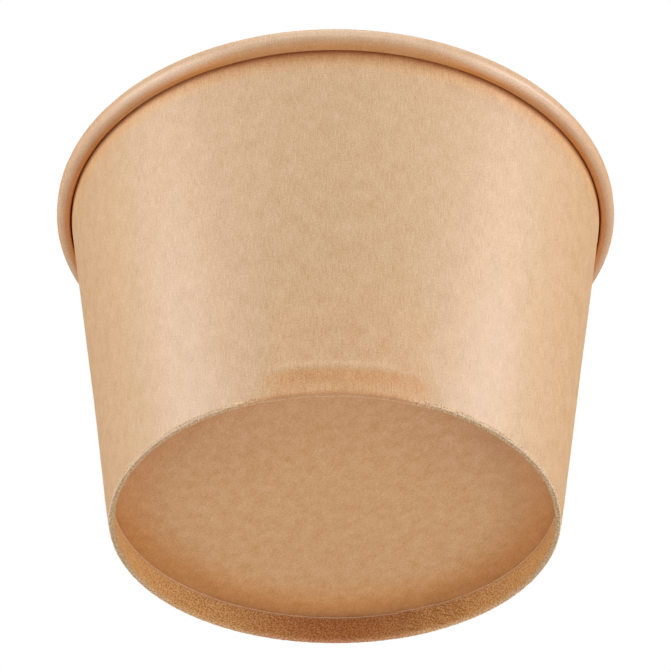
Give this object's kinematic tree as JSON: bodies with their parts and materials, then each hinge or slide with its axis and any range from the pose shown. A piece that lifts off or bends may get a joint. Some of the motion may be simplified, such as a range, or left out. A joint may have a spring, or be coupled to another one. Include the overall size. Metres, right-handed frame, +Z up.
{
  "type": "kraft paper soup bowl",
  "caption": "Round tapered kraft paper soup bowl with a rolled rim, a lapped side seam and a flanged base disc held up inside a folded hem.",
  "frame": {"origin": "centre of the foot ring, on the surface the bowl stands on", "axes": "+Z up along the bowl's axis from foot to rim; +Y is the back, with the lapped side seam a little to the +X side of it"},
  "size_m": [0.115, 0.115, 0.076],
  "materials": {
    "sidewall_board": "natural brown kraft board, matt uncoated outside with fine upright fibres, thin clear food coating inside and over the rolled rim",
    "base_board": "natural brown kraft board, matt and uncoated underneath, thin clear food coating on the upper face"
  },
  "bodies": {
    "root": {"sidewall": "sidewall_board", "base_disc": "base_board"}
  },
  "joints": []
}
